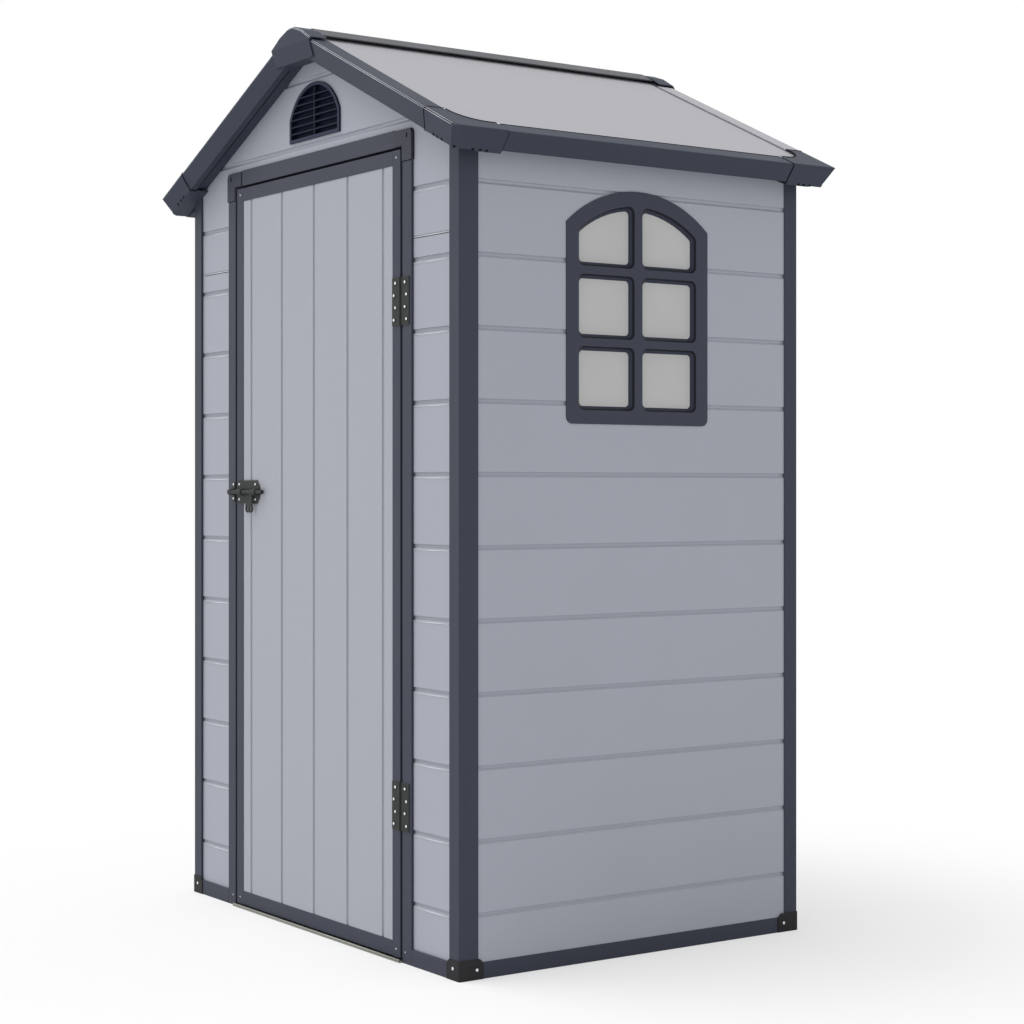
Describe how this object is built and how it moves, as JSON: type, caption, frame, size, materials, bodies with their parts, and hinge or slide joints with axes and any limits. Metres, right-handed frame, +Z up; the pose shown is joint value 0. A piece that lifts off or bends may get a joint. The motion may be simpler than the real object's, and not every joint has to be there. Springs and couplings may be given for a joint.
{
  "type": "plastic apex shed",
  "caption": "Small plastic apex shed with board-pattern walls in a dark frame, a hinged door with a padbolt, an arched side window, a gable vent and a trimmed pitched roof.",
  "frame": {"origin": "middle of the plan, on the ground under the base rails and floor", "axes": "+Z up; the door and its gable face -Y; the window's wall faces +X; the door is hinged on its +X side"},
  "size_m": [1.3432, 1.0386, 2.035],
  "materials": {
    "grey_panels": "matte, lightly grained moulding",
    "roof_panels": "matte, smooth",
    "dark_frame": "satin extrusion",
    "roof_trim": "satin moulding",
    "dark_fittings": "satin moulding",
    "window_frame": "satin moulding",
    "glazing": "translucent, milky",
    "door_panel": "matte, lightly grained moulding",
    "floor": "matte",
    "threshold": "satin",
    "fittings": "satin dark grey enamel",
    "pins": "bright"
  },
  "bodies": {
    "root": {"floor": "floor", "threshold": "threshold", "rail_front_left": "dark_frame", "rail_front_right": "dark_frame", "rail_left": "dark_frame", "rail_right": "dark_frame", "rail_back": "dark_frame", "post_front_left": "dark_frame", "post_front_right": "dark_frame", "post_back_left": "dark_frame", "post_back_right": "dark_frame", "base_brackets": "dark_fittings", "front_wall_left": "grey_panels", "front_wall_right": "grey_panels", "front_gable": "grey_panels", "left_wall": "grey_panels", "right_wall": "grey_panels", "back_wall": "grey_panels", "back_gable": "grey_panels", "jamb_left": "dark_frame", "jamb_right": "dark_frame", "door_header": "dark_frame", "door_stops": "dark_fittings", "header_elbows": "dark_fittings", "hinge_frame_leaves": "fittings", "hinge_pins": "pins", "keeper": "fittings", "window_frame": "window_frame", "window_glazing": "glazing", "gable_vent": "window_frame", "roof_panel_left": "roof_panels", "roof_panel_right": "roof_panels", "verges_front": "roof_trim", "verges_back": "roof_trim", "eaves": "roof_trim", "roof_corners": "roof_trim", "ridge_strip": "roof_trim", "ridge_caps": "roof_trim"},
    "door": {"door_panel": "door_panel", "door_stiles": "dark_frame", "door_rails": "dark_frame", "hinge_door_leaves": "fittings", "bolt_plate": "fittings"},
    "bolt": {"bolt": "fittings"}
  },
  "joints": [
    {"name": "door_hinge", "type": "hinge", "parent": "root", "child": "door", "pos_m": [0.3755, -0.459, 0.86], "axis": [0, 0, 1], "range_deg": [0, 110]},
    {"name": "bolt_slide", "type": "slide", "parent": "door", "child": "bolt", "axis": [-1, 0, 0], "range_m": [0, 0.03]}
  ]
}
